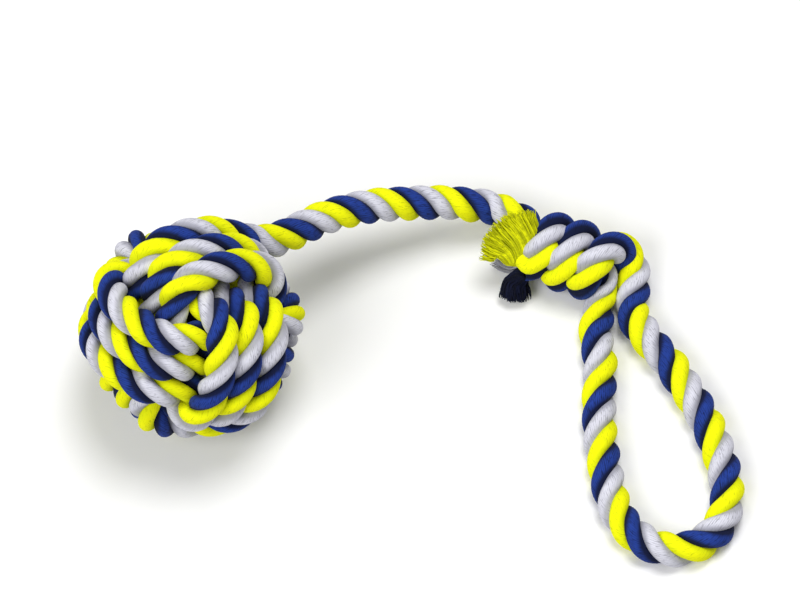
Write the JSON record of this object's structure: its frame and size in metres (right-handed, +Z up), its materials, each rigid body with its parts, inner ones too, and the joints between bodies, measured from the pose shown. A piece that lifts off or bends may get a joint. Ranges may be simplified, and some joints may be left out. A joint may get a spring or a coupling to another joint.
{
  "type": "rope dog toy",
  "caption": "Cotton rope dog toy: a ball woven from rope round a core, a short rope lead, and a hand loop tied with a wrapped knot whose tail is combed into tassels.",
  "frame": {"origin": "the floor point under the middle of the ball, on the flat patch that the ball rests on", "axes": "+X from the ball towards the hand loop, +Y from the hand loop's bow towards the knot and lead, +Z up from the floor"},
  "size_m": [0.2316, 0.1407, 0.0763],
  "materials": {
    "rope": "three-strand twisted cotton in yellow, navy and pale grey, matt",
    "yarn_yellow": "bright yellow cotton, matt",
    "yarn_navy": "navy cotton, matt",
    "yarn_grey": "pale lavender grey cotton, matt",
    "core": "matt, hidden inside the ball"
  },
  "bodies": {
    "ball": {"ball_core": "core", "ball_winding": "rope", "lead_rope": "rope"},
    "knot": {"knot_pass": "rope", "knot_wraps": "rope", "loop_root_left": "rope", "loop_root_right": "rope", "tassel_yellow": "yarn_yellow", "tassel_navy": "yarn_navy", "tassel_grey": "yarn_grey"},
    "loop": {"loop_handle": "rope"}
  },
  "joints": [
    {"name": "lead_swing", "type": "hinge", "parent": "ball", "child": "knot", "pos_m": [0.076, 0.0553, 0.022], "axis": [0, 0, 1], "range_deg": [-50, 50], "deforming": ["lead_rope"]},
    {"name": "loop_fold", "type": "hinge", "parent": "knot", "child": "loop", "pos_m": [0.154, 0.005, 0.0048], "axis": [-1, 0, 0], "range_deg": [0, 100], "deforming": ["loop_root_left", "loop_root_right"]}
  ]
}
